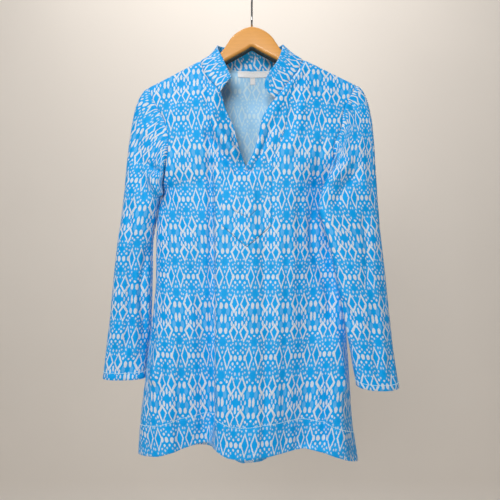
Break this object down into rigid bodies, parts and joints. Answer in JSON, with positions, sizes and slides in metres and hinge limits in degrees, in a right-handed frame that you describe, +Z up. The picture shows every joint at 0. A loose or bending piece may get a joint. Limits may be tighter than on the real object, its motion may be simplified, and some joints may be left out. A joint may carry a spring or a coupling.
{
  "type": "long sleeve top on a wooden clothes hanger",
  "caption": "Long sleeve tunic top with a stand collar, open V neck slit and pointed placket, hanging on a flat wooden hanger with a wire hook",
  "frame": {"origin": "the inner top of the hook's bend, where the hanger rests on a rail or nail", "axes": "+Z up, -Y towards the front of the garment, +X to the right as the front is seen"},
  "size_m": [0.5677, 0.1302, 0.9446],
  "materials": {
    "print_cloth": "smooth knit jersey with a slight sheen, azure and off-white repeat print, paler on the wrong side",
    "label_tape": "plain white woven tape, left blank",
    "pale_wood": "clear lacquered pale wood",
    "dark_strip": "matte black grip strip",
    "hook_wire": "polished chromed wire"
  },
  "bodies": {
    "root": {"front_panel": "print_cloth", "back_panel": "print_cloth", "sleeve_left": "print_cloth", "sleeve_right": "print_cloth", "collar_band": "print_cloth", "placket_box": "print_cloth", "placket_tongue": "print_cloth", "neck_label": "label_tape", "size_tab": "label_tape", "hanger_bar": "pale_wood", "bar_strip": "dark_strip", "hanger_hook": "hook_wire"}
  },
  "joints": []
}
